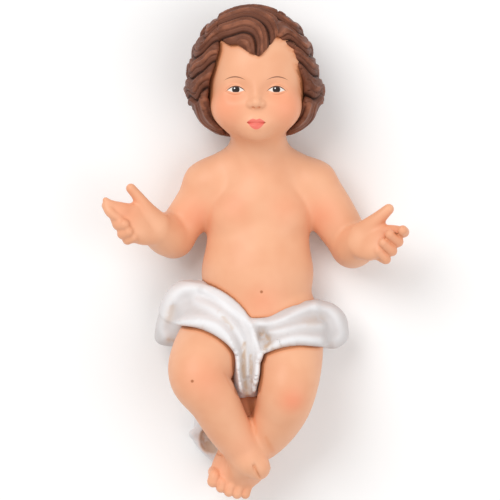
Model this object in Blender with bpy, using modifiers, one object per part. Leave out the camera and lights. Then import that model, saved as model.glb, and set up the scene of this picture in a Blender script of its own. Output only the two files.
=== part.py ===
"""Infant figure of a nativity set, lying on its back with open arms and crossed ankles.

It is one solid casting: the flesh, the hair and the loincloth are a single piece, and its folds,
its locks of hair and its face are carved in the surface. X runs across the figure, Y up to the
crown and Z away from the floor. The origin is on the flat spot under the middle of the back.
"""

import math

import bmesh
import bpy
import numpy as np

FIGURE_LENGTH = 0.160  # crown to toes
CLOTH_THICKNESS = 0.0013  # how far the loincloth stands over the skin
HAIR_THICKNESS = 0.0024  # how far the hair stands over the skull
FOLD_DEPTH = 0.0012  # the folds of the loincloth
BAND_STEP = 0.0005  # how far its upper band stands over the lower one
LOCK_DEPTH = 0.0011  # the locks of the hair
FLATNESS = 0.00012  # what lies lower than this is level with the floor
GRAIN = 0.0009  # the grid in which the joined forms are set before they are carved
FACE_COUNT = 9400  # triangles of the finished casting
FACE_CARE = 0.00002  # how much finer the face stays than the rest

# A free form keeps its pose and its proportions as hundredths of the figure's length.
UNIT = FIGURE_LENGTH / 100
CLOTH = CLOTH_THICKNESS / UNIT
HAIR = HAIR_THICKNESS / UNIT
FOLD = FOLD_DEPTH / UNIT
STEP = BAND_STEP / UNIT
LOCK = LOCK_DEPTH / UNIT
FAR_AWAY = 1e3

SKIN_COLOR = (0.91, 0.56, 0.38, 1.0)


# Distances. A form's distance is negative inside it.


def smooth_min(a, b, blend):
    """The union of two distances, with a fillet about as wide as blend."""
    share = np.clip(0.5 + 0.5 * (b - a) / blend, 0, 1)
    return b + (a - b) * share - blend * share * (1 - share)


def smooth_max(a, b, blend):
    return -smooth_min(-a, -b, blend)


def smooth_step(value, low, high):
    share = np.clip((value - low) / (high - low), 0, 1)
    return share * share * (3 - 2 * share)


def mixed(first, second, share):
    return first + (second - first) * share


def unit_vector(v):
    return np.asarray(v, float) / np.linalg.norm(v)


class Ball:
    """An ellipsoid. Its axes follow the rows of turn, or the figure's own."""

    def __init__(self, centre, radii, blend, turn=None):
        self.centre = np.array(centre, float)
        self.radii = np.array(radii, float)
        self.blend = blend
        self.turn = np.eye(3) if turn is None else turn

    def distance(self, points):
        offset = (points - self.centre) @ self.turn.T / self.radii
        reach = np.linalg.norm(offset, axis=1)
        slope = np.linalg.norm(offset / self.radii, axis=1)
        return reach * (reach - 1) / np.maximum(slope, 1e-6)

    def add_to_blank(self, mesh):
        made = bmesh.ops.create_icosphere(mesh, subdivisions=3, radius=1.0)
        for vertex in made["verts"]:
            vertex.co = self.centre + (np.array(vertex.co) * self.radii) @ self.turn


class Limb:
    """A round form of changing thickness along a smooth curve through stations (x, y, z, radius)."""

    def __init__(self, stations, blend, steps=5):
        rows = np.array(stations, float)
        self.blend = blend
        ends = np.vstack([2 * rows[0] - rows[1], rows, 2 * rows[-1] - rows[-2]])
        share = (np.arange(steps) / steps)[:, None]
        runs = []
        for before, here, there, after in zip(ends, ends[1:], ends[2:], ends[3:]):
            bend = 2 * before - 5 * here + 4 * there - after
            twist = 3 * here - before - 3 * there + after
            runs.append(here + 0.5 * share * (there - before + share * (bend + share * twist)))
        self.curve = np.vstack(runs + [rows[-1:]])

    def distance(self, points, margin=3.0):
        low = (self.curve[:, :3] - self.curve[:, 3:]).min(0) - margin
        high = (self.curve[:, :3] + self.curve[:, 3:]).max(0) + margin
        near = np.all((points > low) & (points < high), axis=1)
        some = points[near]
        nearest = np.full(len(some), FAR_AWAY)
        for start, end in zip(self.curve[:-1], self.curve[1:]):
            span = end[:3] - start[:3]
            share = np.clip((some - start[:3]) @ span / max(span @ span, 1e-9), 0, 1)
            away = np.linalg.norm(some - start[:3] - share[:, None] * span, axis=1)
            nearest = np.minimum(nearest, away - start[3] - share * (end[3] - start[3]))
        distance = np.full(len(points), FAR_AWAY)
        distance[near] = nearest
        return distance

    def add_to_blank(self, mesh):
        for x, y, z, radius in self.curve:
            made = bmesh.ops.create_icosphere(mesh, subdivisions=2, radius=radius)
            bmesh.ops.translate(mesh, verts=made["verts"], vec=(x, y, z))


def joined(forms, points):
    distance = forms[0].distance(points)
    for form in forms[1:]:
        distance = smooth_min(distance, form.distance(points), form.blend)
    return distance


# Trunk. The back is nearly level, so that the figure lies still.


def trunk_forms():
    forms = [
        Ball((0, 9.0, 7.4), (11.1, 9.8, 7.7), 4.0),
        Ball((-0.3, -4.2, 8.2), (11.4, 11.8, 9.0), 5.0),
        Ball((-0.2, -14.2, 7.6), (11.2, 8.0, 8.2), 4.0),
        Limb([(0, 12, 8.0, 6.6), (0, 18.5, 9.2, 5.7), (-0.2, 26, 11.4, 5.7)], 3.8),
    ]
    for side in (-1, 1):
        forms.append(Limb([(0, 19.4, 9, 3.8), (side * 6.2, 17.2, 8.6, 3.8),
                           (side * 11.6, 14.4, 8.2, 3.6)], 2.6))
        forms.append(Ball((side * 5.0, 7.6, 11.0), (4.4, 3.6, 3.4), 2.8))
        forms.append(Ball((side * 5.0, -15.4, 4.6), (5.8, 5.6, 5.2), 2.0))
    return forms


# Arms. The upper arms lie beside the chest and the forearms rise to the open hands.


def arm_forms(shoulder, elbow, wrist, thickness):
    shoulder, elbow, wrist = (np.array(v, float) for v in (shoulder, elbow, wrist))
    upper = [(shoulder, 4.8), (0.5 * (shoulder + elbow), thickness), (elbow, 4.1)]
    fore = [(elbow, 4.3), (0.6 * elbow + 0.4 * wrist, 4.4), (wrist, 3.3)]
    return [
        Limb([(*place, radius) for place, radius in upper], 1.8),
        Limb([(*place, radius) for place, radius in fore], 0.9),
    ]


def palm_axes(heading, to_thumb):
    along = unit_vector(heading)
    across = unit_vector(np.array(to_thumb) - along * (along @ np.array(to_thumb)))
    return np.array([along, across, np.cross(along, across)])


def finger(stations, radius, blend=0.5):
    """A bent finger, from its root to its tip."""
    shares = np.linspace(1.08, 0.88, len(stations))
    curve = [(*place, radius * share) for place, share in zip(stations, shares)]
    return Limb(curve, blend, steps=4)


RIGHT_WRIST = (-20.9, 4.6, 14.0)
LEFT_WRIST = (20.6, 2.2, 13.4)


def right_hand_forms():
    turn = palm_axes((-0.76, 0.19, 0.62), (0.03, 0.96, -0.26))
    return [
        Ball((-24.2, 6.0, 17.0), (4.6, 4.2, 2.2), 1.4, turn),
        Ball((-27.8, 7.2, 18.5), (3.1, 2.7, 1.5), 1.2, turn),
        Ball((-23.4, 3.7, 16.9), (3.8, 2.1, 2.0), 1.2, turn),
        Limb([(-21.0, 5.8, 15.0, 2.6), (-22.9, 8.5, 16.8, 1.8), (-24.6, 11.2, 17.8, 1.15),
              (-26.0, 12.9, 18.4, 1.0)], 0.9),
        Ball((-28.6, 8.2, 19.3), (2.3, 1.5, 1.5), 0.7),
        Limb([(-25.4, 8.3, 18.0, 1.35), (-28.2, 8.9, 19.2, 1.25), (-30.2, 9.6, 20.2, 1.0),
              (-31.1, 10.5, 20.6, 0.6)], 0.5),
        Limb([(-31.0, 9.4, 20.4, 0.9), (-30.1, 8.0, 20.8, 1.0), (-28.5, 6.8, 20.4, 0.9)], 0.4),
        finger([(-26.4, 6.4, 17.8), (-28.5, 5.6, 19.6), (-27.3, 5.6, 20.9)], 1.22, 0.6),
        finger([(-26.0, 4.8, 17.6), (-27.7, 3.7, 19.4), (-26.5, 4.1, 20.5)], 1.14, 0.6),
        finger([(-25.4, 3.2, 17.0), (-26.7, 2.5, 18.7), (-25.5, 3.0, 19.6)], 1.06, 0.6),
    ]


def left_hand_forms():
    turn = palm_axes((0.73, 0.03, 0.68), (0.30, 0.93, -0.36))
    return [
        Ball((23.3, 2.4, 16.2), (4.2, 4.1, 2.2), 1.4, turn),
        Ball((22.2, 0.3, 16.0), (3.4, 1.9, 1.9), 1.2, turn),
        Limb([(21.2, 3.7, 14.2, 2.5), (23.1, 5.6, 16.2, 1.85), (24.8, 7.3, 17.4, 1.35),
              (26.3, 8.7, 18.0, 1.08)], 1.0),
        finger([(25.0, 4.3, 17.0), (27.4, 4.3, 18.2), (29.3, 4.0, 19.4), (29.1, 4.4, 21.2)], 1.15),
        finger([(25.6, 2.4, 17.2), (28.2, 2.1, 18.9), (26.5, 3.6, 20.7)], 1.14),
        finger([(24.9, 0.9, 17.0), (27.0, 0.2, 18.6), (25.2, 1.9, 20.2)], 1.08),
        finger([(24.0, -0.5, 16.4), (25.8, -1.5, 17.7), (24.2, 0.3, 19.0)], 1.0),
    ]


# Legs. The knees are raised, and the right shin crosses over the left instep.

RIGHT_LEG = (
    (-6.6, -13.6, 8.4, 6.8),
    (-10.5, -20.4, 15.2, 7.1),
    (-12.2, -25.2, 19.6, 6.0),
    (-9.2, -30.2, 19.2, 5.1),
    (-6.4, -35.4, 17.2, 4.5),
    (-1.9, -42.0, 14.6, 3.5),
)
LEFT_LEG = (
    (6.0, -14.0, 8.2, 6.6),
    (6.3, -20.6, 14.4, 6.7),
    (5.8, -27.4, 18.8, 6.0),
    (4.2, -32.8, 16.2, 5.3),
    (0.5, -37.9, 12.0, 4.5),
    (-4.6, -41.2, 8.8, 3.5),
)
CROTCH = (
    (-2.4, -20.0, 11.6, 4.6),
    (-2.5, -25.0, 12.0, 4.2),
    (-2.2, -31.0, 11.8, 2.6),
    (-2.6, -36.0, 10.4, 2.4),
)
RIGHT_ANKLE = (-3.1, -41.3, 14.2)


def foot_forms(ankle, heading, to_big_toe, side):
    """A bare foot. Its own axes run to the toes, to the big toe's side and out of the instep."""
    along = unit_vector(heading)
    across = unit_vector(np.array(to_big_toe) - along * (along @ np.array(to_big_toe)))
    turn = np.array([along, across, side * np.cross(across, along)])

    def place(a, c, u):
        return np.array(ankle) + np.array([a, c, u]) @ turn

    instep = [(0.2, 0, -0.4, 3.3), (3.4, 0.3, -1.2, 2.9), (5.8, 0.4, -2.2, 2.2)]
    forms = [
        Limb([(*place(a, c, u), radius) for a, c, u, radius in instep], 1.6),
        Ball(place(-1.2, 0, -2.5), (2.7, 2.5, 2.7), 1.4, turn),
        Ball(place(3.2, 1.5, -1.9), (3.6, 3.0, 2.2), 1.6, turn),
        Ball(place(4.8, 0.6, -2.6), (2.9, 3.8, 1.6), 1.2, turn),
    ]
    for toe in range(5):
        radius = 1.2 if toe == 0 else 1.0
        sideways = 4.1 - 1.76 * toe
        reach = 8.3 - 0.25 * (toe - 2.6) ** 2
        stations = [(reach - 2.6, 0.95, -2.3), (reach - 1.2, 1.0, -1.2), (reach, 1.0, -1.9)]
        curve = [(*place(a, sideways * c, u), radius) for a, c, u in stations]
        forms.append(Limb(curve, 0.35, steps=3))
    return forms


# Head. These are shares of the head's height, measured from its middle. The brows are half way
# up. The eyes, the nose and the mouth are a quarter, a half and three quarters of the way from
# the brows to the chin, and five eyes fit across the face.

HEAD_CENTRE = np.array([-0.6, 36.0, 13.8])
HEAD_HEIGHT = 27.4
CHIN = -HEAD_HEIGHT / 2
EYE_LINE = CHIN * 0.24
NOSE_LINE = CHIN * 0.50
MOUTH_LINE = CHIN * 0.72
EYE_ACROSS = HEAD_HEIGHT * 0.15
FACE_MIDDLE = HEAD_CENTRE[1] + CHIN / 2
FACE_REACH = HEAD_HEIGHT * 0.28


def at_head(x, y, z):
    return HEAD_CENTRE + (x, y, z)


def head_forms():
    forms = [
        Ball(at_head(0, 1.2, -0.8), (11.3, 11.8, 12.3), 2.0),
        Ball(at_head(0, -5.4, 3.2), (9.0, 8.2, 8.2), 3.0),
        Ball(at_head(0, CHIN + 2.4, 8.0), (2.8, 2.2, 2.4), 2.2),
        Limb([(*at_head(0, EYE_LINE + 0.4, 10.3), 0.85), (*at_head(0, -4.8, 11.3), 0.85),
              (*at_head(0, NOSE_LINE + 1.1, 12.0), 1.02)], 1.5),
        Ball(at_head(0, MOUTH_LINE, 8.4), (3.4, 2.4, 2.8), 1.8),
    ]
    for side in (-1, 1):
        forms.append(Ball(at_head(side * 4.7, -6.8, 6.9), (4.1, 3.8, 4.0), 2.4))
        forms.append(Ball(at_head(side * 1.05, NOSE_LINE + 0.8, 11.3), (0.8, 0.7, 0.9), 0.6))
    return forms


LID = 0.32


def eyelid(side, height):
    """A thin roll over the eyeball, from the inner to the outer corner of the eye."""
    places = ((-1.8, 0.0, 10.0), (-0.9, 0.8 * height, 10.5), (0.9, 0.8 * height, 10.5), (1.9, 0.0, 9.9))
    return Limb([(*at_head(side * (EYE_ACROSS + a), EYE_LINE + u, z), LID) for a, u, z in places], 0.25)


EYES = []
for side in (-1, 1):
    hollow = Ball(at_head(side * EYE_ACROSS, EYE_LINE, 13.1), (3.0, 2.0, 2.8), 1.6)
    eyeball = Ball(at_head(side * EYE_ACROSS, EYE_LINE, 8.45), (2.3, 1.9, 2.2), 0.4)
    EYES.append((hollow, eyeball, eyelid(side, 1.0), eyelid(side, -0.75)))
LIPS = [
    Limb([(*at_head(-2.1, MOUTH_LINE, 10.0), 0.4), (*at_head(-0.85, MOUTH_LINE + 0.62, 10.75), 0.58),
          (*at_head(0.85, MOUTH_LINE + 0.62, 10.75), 0.58), (*at_head(2.1, MOUTH_LINE, 10.0), 0.4)], 0.4),
    Limb([(*at_head(-1.6, MOUTH_LINE - 0.5, 10.1), 0.4), (*at_head(0, MOUTH_LINE - 0.95, 10.65), 0.7),
          (*at_head(1.6, MOUTH_LINE - 0.5, 10.1), 0.4)], 0.4),
]
MOUTH_GROOVE = Limb([(*at_head(-2.2, MOUTH_LINE + 0.08, 10.6), 0.18),
                     (*at_head(0, MOUTH_LINE - 0.16, 11.5), 0.26),
                     (*at_head(2.2, MOUTH_LINE + 0.08, 10.6), 0.18)], 0.2)


def face_carved(distance, points):
    for hollow, eyeball, upper_lid, lower_lid in EYES:
        distance = smooth_max(distance, -hollow.distance(points), hollow.blend)
        for form in (eyeball, upper_lid, lower_lid):
            distance = smooth_min(distance, form.distance(points), form.blend)
    for lip in LIPS:
        distance = smooth_min(distance, lip.distance(points), lip.blend)
    return smooth_max(distance, -MOUTH_GROOVE.distance(points), MOUTH_GROOVE.blend)


# Loincloth. Its bands are laid over the skin and its folds run over them: each is a track, a middle
# line seen from above, with a half width that changes along it.


class Track:
    def __init__(self, stations):
        curve = Limb([(x, y, 0, half_width) for x, y, half_width in stations], 0, steps=4).curve
        self.middle = curve[:, :2]
        self.half_width = curve[:, 3]

    def share(self, points):
        """How far off the line places are, as a share of its half width, and that half width."""
        flat = points[:, :2]
        share = np.full(len(flat), FAR_AWAY)
        half_width = np.ones(len(flat))
        for i, (start, end) in enumerate(zip(self.middle[:-1], self.middle[1:])):
            span = end - start
            run = np.clip((flat - start) @ span / (span @ span), 0, 1)
            width = mixed(self.half_width[i], self.half_width[i + 1], run)
            away = np.linalg.norm(flat - start - run[:, None] * span, axis=1) / width
            half_width = np.where(away < share, width, half_width)
            share = np.minimum(share, away)
        return share, half_width

    def inside(self, points):
        share, half_width = self.share(points)
        return (1 - share) * half_width


BANDS = [
    Track([(-16.5, -10.2, 4.6), (-11.0, -11.2, 4.5), (-6.0, -14.2, 3.9), (-2.7, -19.0, 2.8),
           (-2.2, -24.0, 2.4), (-2.3, -27.4, 1.9)]),
    Track([(-1.4, -17.4, 3.9), (3.0, -16.4, 3.4), (8.0, -14.9, 4.1), (14.0, -14.6, 4.8)]),
    Track([(-1.4, -17.4, 2.4), (-0.8, -20.6, 1.7), (-0.9, -22.4, 1.1)]),
]
FOLDS = [
    (1.0, Track([(-11.5, -7.6, 0.9), (-8.4, -9.2, 0.9), (-5.2, -11.6, 0.9), (-2.4, -14.0, 0.8),
                 (-0.8, -17.0, 0.8), (-0.5, -21.0, 0.7), (-0.7, -27.8, 0.7)])),
    (0.8, Track([(-12.6, -9.8, 1.1), (-9.4, -11.4, 1.0), (-5.9, -13.8, 0.9), (-3.4, -17.2, 0.7),
                 (-2.5, -21.0, 0.5), (-2.3, -25.0, 0.4)])),
    (1.2, Track([(-16.0, -14.6, 1.0), (-12.6, -13.7, 1.0), (-9.0, -14.4, 1.0), (-6.3, -16.8, 0.8),
                 (-4.8, -20.2, 0.7), (-4.3, -24.0, 0.7), (-4.1, -28.0, 0.7)])),
    (1.0, Track([(-1.0, -14.4, 0.8), (1.6, -14.5, 0.8), (5.0, -13.4, 0.8), (8.0, -12.0, 0.9),
                 (11.4, -10.8, 0.9)])),
    (0.8, Track([(2.2, -16.3, 0.6), (5.0, -15.7, 0.8), (9.0, -14.9, 1.0), (12.6, -14.9, 1.1)])),
    (1.1, Track([(0.2, -21.0, 0.8), (2.2, -19.4, 0.8), (5.0, -18.0, 0.9), (8.5, -17.4, 0.9),
                 (12.2, -17.8, 1.0)])),
    (0.7, Track([(-11.8, -7.6, 1.2), (-14.3, -7.2, 1.2), (-16.8, -8.2, 1.1), (-18.0, -10.2, 1.1),
                 (-19.1, -13.0, 1.1), (-19.9, -15.6, 1.1), (-19.2, -17.3, 1.1)])),
    (0.7, Track([(12.0, -11.5, 1.1), (14.0, -11.6, 1.1), (15.4, -12.8, 1.1), (16.4, -14.8, 1.1),
                 (16.8, -17.0, 1.1), (15.6, -18.4, 1.1)])),
    (-1.0, Track([(0.8, -17.0, 0.9), (1.9, -18.0, 0.6)])),
    (-0.5, Track([(-17.6, -11.2, 1.0), (-17.0, -13.1, 0.9)])),
]
BUNCH_HOLLOW = Ball((-9.8, -38.6, 7.6), (2.4, 3.2, 3.4), 0.5)
WAIST = -1.0  # the cloth is lower than this, and the hair is higher than the collar
COLLAR = 17.0
SEAT = (-23.0, -9.6)
SIDE = 8.0
EDGE_ROUNDING = 0.5


def fold_relief(points):
    """How far the folds and the upper band stand over the cloth, in units."""
    relief = np.zeros(len(points))
    for height, track in FOLDS:
        share, _ = track.share(points)
        relief += FOLD * height * np.exp(-share * share)
    relief += STEP * smooth_step(BANDS[0].inside(points), -0.1, 0.3)
    return relief * smooth_step(points[:, 2], SIDE - 1, SIDE + 1)


def lap_forms():
    """The loose ends of the loincloth: a flared end on each hip and the tail between the thighs."""
    return [
        Limb([(-11.8, -8.2, 10.0, 2.2), (-14.9, -8.4, 9.2, 2.5), (-17.0, -10.9, 8.6, 2.7),
              (-18.9, -15.0, 7.6, 2.1), (-19.6, -17.2, 6.8, 1.8)], 1.4),
        Limb([(-10.5, -12.4, 13.2, 2.2), (-14.2, -13.6, 9.8, 3.6), (-16.8, -16.0, 8.0, 2.9),
              (-17.6, -17.4, 7.2, 1.9)], 1.4),
        Limb([(9.5, -12.4, 12.0, 2.4), (12.8, -12.9, 9.4, 2.9), (15.0, -14.2, 8.4, 2.9),
              (15.9, -16.6, 7.4, 2.5)], 1.4),
        Limb([(9.0, -16.4, 13.0, 2.4), (12.6, -16.6, 9.6, 2.9), (14.6, -17.2, 8.0, 2.5)], 1.4),
        Limb([(-4.6, -16.4, 16.0, 2.4), (-4.0, -21.0, 16.7, 1.9), (-3.7, -25.0, 16.6, 1.5),
              (-3.5, -28.4, 15.6, 1.3)], 0.4),
        Limb([(-2.4, -16.0, 16.0, 2.3), (-1.3, -21.0, 16.7, 1.9), (-0.9, -25.0, 16.6, 1.4),
              (-1.2, -28.2, 15.6, 1.25)], 0.4),
    ]


def bunch_forms():
    """The end of the cloth that is bunched on the floor, under the thighs and the shins."""
    return [
        Limb([(-5.0, -18.0, 4.0, 5.2), (-7.0, -27.0, 4.6, 5.0), (-9.6, -36.0, 4.2, 3.8)], 2.0),
        Limb([(5.0, -18.0, 4.0, 5.2), (4.0, -27.0, 5.0, 5.2), (-1.0, -36.0, 4.4, 4.0)], 2.0),
        Ball((-1.0, -25.0, 5.0), (6.0, 9.0, 6.0), 2.0),
        Ball((-8.2, -38.2, 3.6), (3.2, 4.2, 3.6), 1.5),
        Limb([(-10.0, -34.2, 6.8, 1.0), (-13.4, -37.2, 6.0, 0.8)], 0.6),
        Limb([(-13.4, -37.2, 6.0, 0.8), (-11.6, -39.8, 5.2, 0.9), (-8.8, -42.4, 4.2, 1.0)], 0.6),
    ]


# Hair. It is swept off the face in waves, with a forelock that curls down to the brow.

FRINGE = ((-7.4, 7.1), (-5.5, 5.9), (-3.8, 6.0), (-1.3, 4.2), (0.6, 3.5), (2.7, 5.5), (4.2, 7.7),
          (6.1, 6.1), (7.4, 5.0))
TEMPLES = ((-13.0, 5.4), (-8.5, 8.3), (-4.6, 9.7), (-1.0, 9.4), (2.0, 8.3), (5.0, 7.5), (9.0, 7.4))
FORELOCK_CENTRE = (-3.8, 2.4)
NAPE = -13.2
WAVE_LENGTH = 4.3  # from lock to lock
WHORL_LOCKS = 16
HAIR_CORE = [
    Ball(at_head(-0.7, 1.0, -0.8), (11.5, 11.9, 12.4), 2.0),
    Ball(at_head(0.0, -4.6, -1.4), (11.3, 7.4, 9.8), 3.0),
]


def hairline_reach(p):
    """How far a place on the head is inside the hair; negative on the face and the throat."""
    over_fringe = p[:, 1] - np.interp(p[:, 0], *zip(*FRINGE))
    beyond_temples = np.abs(p[:, 0]) - np.interp(p[:, 1], *zip(*TEMPLES))
    behind = 1.2 * (4.0 - p[:, 2] - 1.8 * np.maximum(-8.5 - p[:, 1], 0))
    inside = np.maximum(np.maximum(over_fringe, beyond_temples), behind)
    return np.minimum(inside, p[:, 1] - NAPE)


def ridges(turn):
    """Rounded ridges with sharp furrows between them, one to a turn."""
    return 2 * np.abs(np.cos(math.pi * turn)) - 1


def locks(reach):
    """The relief of locks and of the strands on them, one lock to each wave length of reach."""
    turn = reach / WAVE_LENGTH
    return 0.68 * ridges(turn) + 0.28 * ridges(3 * turn + 0.12)


def lock_relief(p):
    """The locks: waves at the sides, curls at the nape, a sweep over the brow, a whorl behind."""
    x, y, z = p.T
    side = np.abs(x)
    round_head = 12.0 * (np.arctan2(side, z + 0.5) - 1.0)
    drift = 0.5 * np.sin(0.55 * x + 0.9 * z) * np.sin(0.5 * y + 0.8)
    fall = 3.4 * smooth_step(round_head, -5.0, 9.0) + 0.9 * np.sin(0.62 * round_head + 0.7)
    waves = locks(y + fall + drift - 0.2 * np.sign(x))
    curls = locks(np.hypot(side - 3.6, y + 3.2) + 0.35 * np.sin(0.8 * y))
    sides = mixed(waves, curls, smooth_step(-y, 5.2, 7.0))
    up = 11.8 * np.arctan2(y, z + 0.8)
    fx = np.maximum(x - FORELOCK_CENTRE[0], 0)
    fy = up - FORELOCK_CENTRE[1]
    bend = smooth_step(np.arctan2(fx, np.maximum(fy, 0.01)), 0.5, 1.5)
    sweep = locks(np.hypot(fx, fy) * (1 + 0.5 * bend) + 0.25 * np.sin(0.9 * x) + 0.6)
    over = smooth_step(x, -8.0, -7.5) * smooth_step(4.7 - x, 0, 0.5) * smooth_step(y, 3.0, 4.2)
    over = over * smooth_step(z, -5, -3)
    whorl = locks(WHORL_LOCKS * WAVE_LENGTH / (2 * math.pi) * np.arctan2(x + 0.05, y - 6.0) + drift)
    return mixed(mixed(sides, sweep, over), whorl, smooth_step(-z, 4.6, 5.8))


def hair_distance(points):
    p = points - HEAD_CENTRE
    fullness = smooth_step(-p[:, 1], -6, 5) * (1 - 0.6 * smooth_step(-p[:, 1], 4, 12))
    height = HAIR * (0.6 + 0.75 * fullness) + LOCK * lock_relief(p)
    edge = hairline_reach(p)
    height *= 0.6 + 0.4 * smooth_step(edge, 0, 1.6)
    return smooth_max(joined(HAIR_CORE, points) - height, -0.8 * edge, EDGE_ROUNDING)


# Casting.


def body_forms():
    return [
        *trunk_forms(),
        *arm_forms((-10.0, 13.8, 8.0), (-17.5, 3.1, 7.0), RIGHT_WRIST, 4.3),
        *arm_forms((11.1, 13.9, 8.0), (19.1, 1.1, 7.0), LEFT_WRIST, 4.8),
        *right_hand_forms(),
        *left_hand_forms(),
        Limb(CROTCH, 1.5),
        Limb(LEFT_LEG, 1.6),
        *foot_forms(LEFT_LEG[-1][:3], (-0.04, -0.84, 0.54), (-0.95, 0.35, 0.2), 1),
        Limb(RIGHT_LEG, 1.2),
        *foot_forms(RIGHT_ANKLE, (0.13, -0.35, -0.92), (-0.85, -0.5, 0.0), -1),
        Ball((-0.2, -43.8, 15.4), (2.5, 2.6, 2.8), 0.8),
    ]


BODY = body_forms()
HEAD = head_forms()
LAPS = lap_forms()
BUNCH = bunch_forms()
NAVEL = Ball((0.5, -8.1, 17.9), (0.9, 0.7, 1.0), 0.7)
HEEL_CREASE = Limb([(-1.0, -43.4, 18.6, 0.3), (-0.5, -44.8, 18.2, 0.4), (0.1, -46.0, 17.0, 0.3)], 0.4)


def skin_distance(points):
    distance = joined(BODY, points)
    for cut in (NAVEL, HEEL_CREASE):
        distance = smooth_max(distance, -cut.distance(points), cut.blend)
    upper = points[:, 1] > COLLAR
    above = points[upper]
    distance[upper] = face_carved(smooth_min(distance[upper], joined(HEAD, above), HEAD[0].blend), above)
    return distance


def cloth_distance(points, skin):
    x, y, z = points.T
    relief = fold_relief(points)
    inside = np.minimum(np.max([band.inside(points) for band in BANDS], axis=0), z - SIDE)
    seat = np.minimum.reduce([y - SEAT[0], SEAT[1] - y, SIDE + 1 - z])
    laid = smooth_max(skin - CLOTH - relief, -0.9 * np.maximum(inside, seat), EDGE_ROUNDING)
    bunch = smooth_max(joined(BUNCH, points), -BUNCH_HOLLOW.distance(points), BUNCH_HOLLOW.blend)
    return smooth_min(smooth_min(laid, joined(LAPS, points) - relief, 0.8), bunch, 0.8)


def figure_distance(points):
    figure = skin_distance(points)
    lower = points[:, 1] < WAIST
    figure[lower] = smooth_min(figure[lower], cloth_distance(points[lower], figure[lower]), 0.15)
    upper = points[:, 1] > COLLAR
    figure[upper] = smooth_min(figure[upper], hair_distance(points[upper]), 0.3)
    return smooth_max(figure, -points[:, 2], 0.3)


def settle(mesh, rounds):
    """Moves the vertices of a mesh along their normals onto the surface of the figure."""
    places = np.empty(3 * len(mesh.vertices))
    normals = np.empty(3 * len(mesh.vertices))
    mesh.vertices.foreach_get("co", places)
    places = places.reshape(-1, 3) / UNIT
    for _ in range(rounds):
        mesh.vertex_normals.foreach_get("vector", normals)
        away = figure_distance(places)
        places -= np.clip(away, -1.0, 1.0)[:, None] * normals.reshape(-1, 3)
        mesh.vertices.foreach_set("co", (places * UNIT).ravel())
        mesh.update()


def outer_shell(mesh):
    """Leaves out the hollows that the joined forms shut in."""
    body = bmesh.new()
    body.from_mesh(mesh)
    shells = []
    waiting = set(body.verts)
    while waiting:
        shell = {waiting.pop()}
        edge_of_shell = set(shell)
        while edge_of_shell:
            reached = {e.other_vert(v) for v in edge_of_shell for e in v.link_edges}
            edge_of_shell = reached & waiting
            waiting -= edge_of_shell
            shell |= edge_of_shell
        shells.append(shell)
    outside = max(shells, key=len)
    bmesh.ops.delete(body, geom=[v for v in body.verts if v not in outside], context="VERTS")
    body.to_mesh(mesh)
    body.free()


def remeshed(mesh, grain):
    """The same solid on an even grid."""
    holder = bpy.data.objects.new("blank", mesh)
    bpy.context.scene.collection.objects.link(holder)
    remesh = holder.modifiers.new("grid", "REMESH")
    remesh.mode = "VOXEL"
    remesh.voxel_size = grain
    depsgraph = bpy.context.evaluated_depsgraph_get()
    even = bpy.data.meshes.new_from_object(holder.evaluated_get(depsgraph))
    bpy.data.objects.remove(holder)
    outer_shell(even)
    return even


def on_face(x, y, z):
    return abs(x - HEAD_CENTRE[0]) < FACE_REACH and abs(y - FACE_MIDDLE) < FACE_REACH and z > HEAD_CENTRE[2]


def refine_face(mesh):
    """Halves the grid where the face is carved."""
    finer = bmesh.new()
    finer.from_mesh(mesh)
    edges = [edge for edge in finer.edges if all(on_face(*v.co / UNIT) for v in edge.verts)]
    bmesh.ops.subdivide_edges(finer, edges=edges, cuts=1, use_grid_fill=True)
    finer.to_mesh(mesh)
    finer.free()


def blank():
    """The rough shape: all forms as overlapping balls, joined on one grid."""
    rough = bmesh.new()
    for form in BODY + HEAD + LAPS + BUNCH + HAIR_CORE:
        form.add_to_blank(rough)
    bmesh.ops.scale(rough, vec=(UNIT, UNIT, UNIT), verts=rough.verts)
    mesh = bpy.data.meshes.new("blank")
    rough.to_mesh(mesh)
    rough.free()
    return remeshed(mesh, GRAIN)


def thin_out(mesh, count):
    holder = bpy.data.objects.new("carving", mesh)
    bpy.context.scene.collection.objects.link(holder)
    fewer = holder.modifiers.new("fewer faces", "DECIMATE")
    fewer.ratio = count / sum(len(face.vertices) - 2 for face in mesh.polygons)
    freedom = holder.vertex_groups.new(name="free to be thinned")
    for vertex in mesh.vertices:
        kept = on_face(*vertex.co / UNIT)
        freedom.add([vertex.index], 0.1 if kept else 1.0, "REPLACE")
    fewer.vertex_group = freedom.name
    fewer.vertex_group_factor = FACE_CARE
    fewer.use_collapse_triangulate = True
    depsgraph = bpy.context.evaluated_depsgraph_get()
    thinned = bpy.data.meshes.new_from_object(holder.evaluated_get(depsgraph))
    bpy.data.objects.remove(holder)
    return thinned


def rest_flat(mesh):
    """Levels the underside, which the thinning leaves a little uneven."""
    for vertex in mesh.vertices:
        if vertex.co.z < FLATNESS:
            vertex.co.z = 0


def painted_resin():
    material = bpy.data.materials.new("painted resin")
    material.use_nodes = True
    shader = material.node_tree.nodes["Principled BSDF"]
    shader.inputs["Base Color"].default_value = SKIN_COLOR
    shader.inputs["Roughness"].default_value = 0.45
    shader.inputs["Metallic"].default_value = 0.0
    return material


def build():
    for item in list(bpy.data.objects):
        bpy.data.objects.remove(item)
    casting = blank()
    settle(casting, 4)
    casting = remeshed(casting, GRAIN)
    settle(casting, 2)
    refine_face(casting)
    settle(casting, 2)
    casting = thin_out(casting, FACE_COUNT)
    rest_flat(casting)
    casting.name = "infant_figure"
    casting.shade_smooth()
    casting.materials.append(painted_resin())
    collection = bpy.data.collections.new("Infant figure")
    bpy.context.scene.collection.children.link(collection)
    collection.objects.link(bpy.data.objects.new("infant_figure", casting))


build()
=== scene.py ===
"""The visible infant figurine: one painted resin casting, seen from straight above."""

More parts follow.
